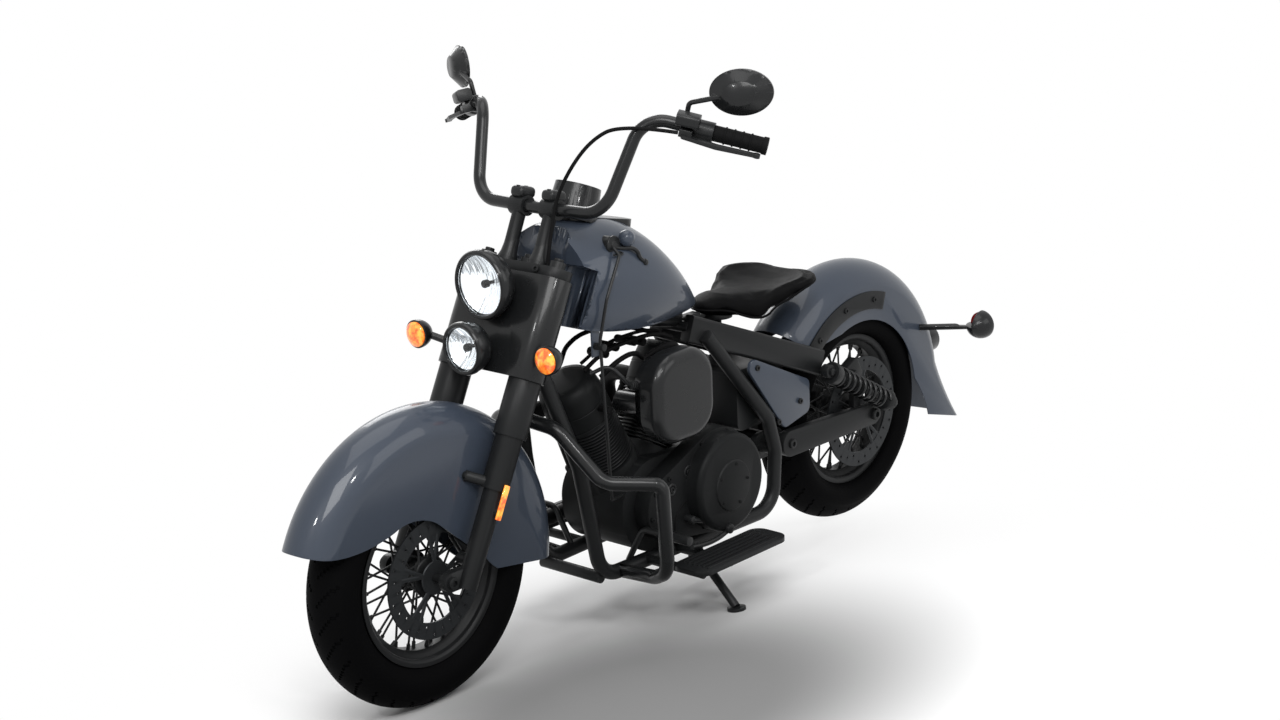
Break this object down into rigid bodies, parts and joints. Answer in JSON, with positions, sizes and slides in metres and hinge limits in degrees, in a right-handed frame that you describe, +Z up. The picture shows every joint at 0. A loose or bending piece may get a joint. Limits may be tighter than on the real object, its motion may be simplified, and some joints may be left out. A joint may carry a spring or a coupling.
{
  "type": "cruiser motorcycle",
  "caption": "Blacked-out cruiser motorcycle with a skirted front mudguard, stacked headlamps, tall handlebar, hand shift and solo saddle, leaning on its side stand.",
  "frame": {"origin": "centre of the bounding box at ground level, leaning on its side stand", "axes": "+X forwards, +Y to the rider's left, +Z up"},
  "size_m": [2.5382, 1.0548, 1.4937],
  "materials": {
    "paint": "dark blue-grey gloss paint",
    "frame_black": "satin black paint",
    "engine_black": "black engine enamel",
    "gloss_black": "gloss black",
    "exhaust_black": "heat-proof satin black",
    "control_metal": "black coated controls",
    "seat_leather": "smooth black leather",
    "belt_rubber": "matte",
    "grip_rubber": "matte",
    "tyre_rubber": "road tyre",
    "rim_black": "black powder coat",
    "disc_steel": "dark brushed steel",
    "clear_glass": "clear lens",
    "amber_plastic": "amber lens"
  },
  "bodies": {
    "chassis": {"frame": "frame_black", "crankcase": "engine_black", "cylinders": "engine_black", "cylinder_heads": "engine_black", "primary_cover": "engine_black", "air_cleaner": "gloss_black", "exhaust": "exhaust_black", "fuel_tank": "paint", "gauge_pod": "gloss_black", "hand_shift": "control_metal", "seat": "seat_leather", "seat_mount": "frame_black", "rear_fender": "paint", "fender_struts": "frame_black", "side_covers": "paint", "battery_box": "frame_black", "swingarm": "frame_black", "shocks": "frame_black", "rear_caliper": "frame_black", "footboards": "frame_black", "foot_controls": "control_metal", "crash_bar": "gloss_black", "drive_belt": "belt_rubber", "rear_lamps": "gloss_black"},
    "fork": {"triple_clamps": "frame_black", "fork_covers": "gloss_black", "fork_legs": "frame_black", "headlamps": "gloss_black", "lamp_lenses": "clear_glass", "front_signals": "gloss_black", "amber_lenses": "amber_plastic", "handlebar": "gloss_black", "grips": "grip_rubber", "hand_controls": "control_metal", "mirrors": "gloss_black", "clutch_cable": "belt_rubber", "front_fender": "paint", "front_caliper": "frame_black"},
    "front_wheel": {"front_tyre": "tyre_rubber", "front_rim": "rim_black", "front_disc": "disc_steel"},
    "rear_wheel": {"rear_tyre": "tyre_rubber", "rear_rim": "rim_black", "rear_disc": "disc_steel"},
    "side_stand": {"side_stand": "frame_black"}
  },
  "joints": [
    {"name": "steering", "type": "hinge", "parent": "chassis", "child": "fork", "pos_m": [0.54771, -0.07066, 0.83573], "axis": [-0.454, 0.124, 0.8823], "range_deg": [-30, 30]},
    {"name": "front_wheel_spin", "type": "hinge", "parent": "fork", "child": "front_wheel", "pos_m": [0.89538, -0.14349, 0.31757], "axis": [0, 0.9903, -0.1392], "continuous": true},
    {"name": "rear_wheel_spin", "type": "hinge", "parent": "chassis", "child": "rear_wheel", "pos_m": [-0.73262, -0.14349, 0.31757], "axis": [0, 0.9903, -0.1392], "continuous": true},
    {"name": "side_stand_fold", "type": "hinge", "parent": "chassis", "child": "side_stand", "pos_m": [0.07338, -0.01947, 0.13655], "axis": [0.1189, 0.6834, 0.7203], "range_deg": [0, 95]}
  ]
}
